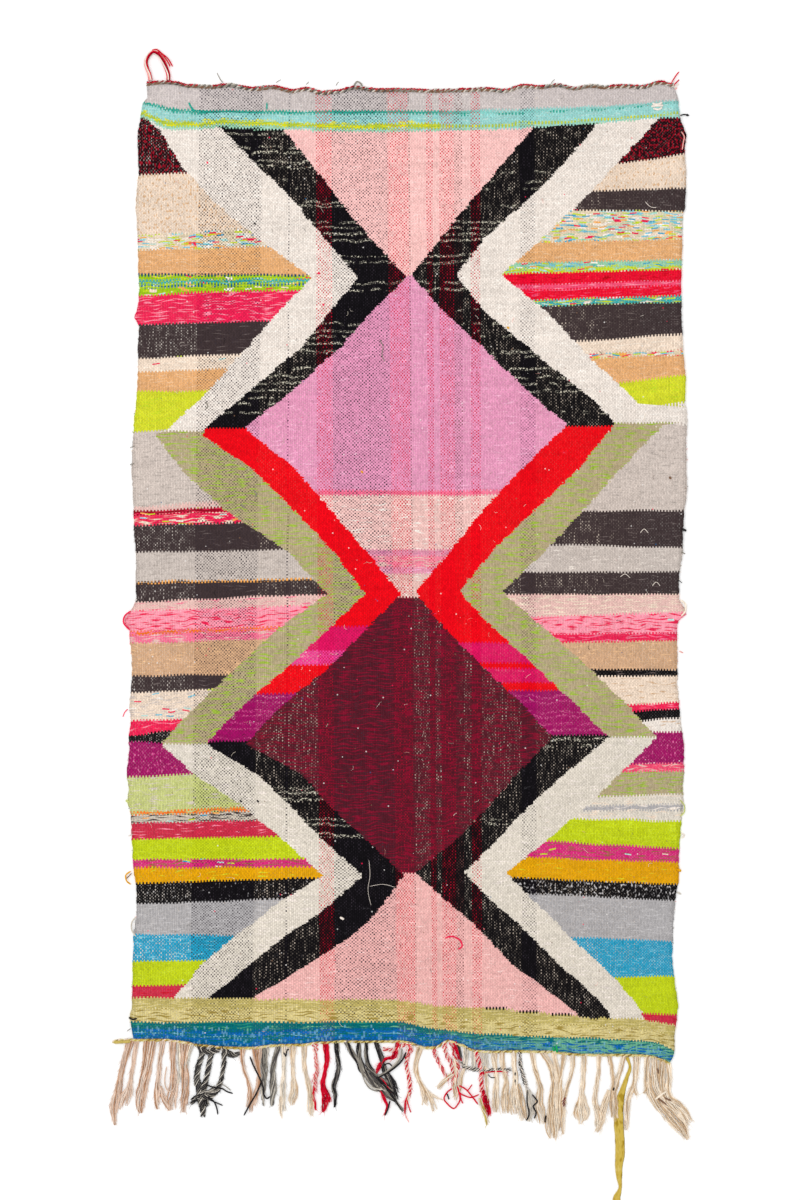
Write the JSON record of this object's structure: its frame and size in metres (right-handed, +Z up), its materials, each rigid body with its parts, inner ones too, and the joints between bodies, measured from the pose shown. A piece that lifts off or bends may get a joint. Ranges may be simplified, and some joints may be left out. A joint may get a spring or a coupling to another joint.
{
  "type": "boucherouite rug",
  "caption": "Flat rag and yarn floor rug with an uneven outline, twined ends, a corner loop, loose fringe and a hanging rag end.",
  "frame": {"origin": "on the flat underside of the cloth, near the middle of the rug", "axes": "+Z up out of the rug's face, +Y along its length towards the twined end, +X across it"},
  "size_m": [1.2765, 2.5589, 0.0093],
  "materials": {
    "woven_rag": "plain weave of rag and wool yarn in many colours, matt",
    "twined_yarn": "two-ply twined wool in red and grey-brown, matt",
    "loop_yarn": "loose bundle of red and white yarn, matt",
    "fringe_yarn": "twisted and frayed wool warp ends, matt",
    "olive_rag": "soft folded rag strip, matt"
  },
  "bodies": {
    "root": {"rug_cloth": "woven_rag", "top_twining": "twined_yarn", "corner_loop": "loop_yarn", "fringe": "fringe_yarn", "rag_tail": "olive_rag"}
  },
  "joints": []
}
